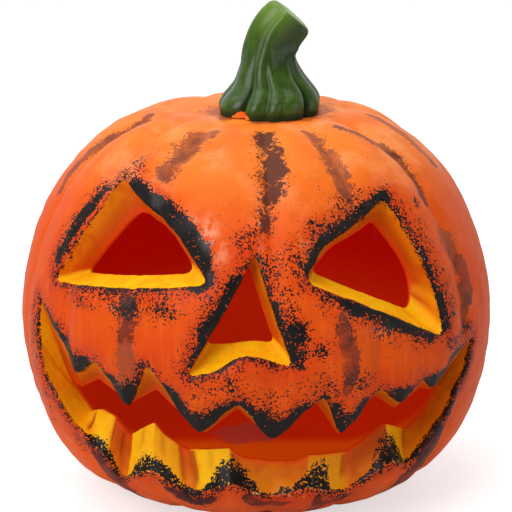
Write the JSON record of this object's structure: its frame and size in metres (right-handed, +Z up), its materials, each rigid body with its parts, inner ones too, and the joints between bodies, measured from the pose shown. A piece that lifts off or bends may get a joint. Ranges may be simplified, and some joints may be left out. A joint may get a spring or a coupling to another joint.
{
  "type": "carved pumpkin lantern decoration",
  "caption": "Hollow moulded foam copy of a ribbed pumpkin with cut-through eyes, nose and jagged mouth, and a glossy lobed stem that leans to one side",
  "frame": {"origin": "bottom centre of the bounding box, on the plane of the flat base", "axes": "+Z up through the stem, the carved face looks towards -Y, +X is to the right of someone who looks at the face"},
  "size_m": [0.1668, 0.166, 0.1746],
  "materials": {
    "shell": "sprayed orange foam with brown strokes down the grooves, black sponged round the cuts, and cut walls painted yellow to dark red",
    "stem": "glossy dark green, paler and yellower at its top"
  },
  "bodies": {
    "root": {"pumpkin_shell": "shell", "stem": "stem"}
  },
  "joints": []
}
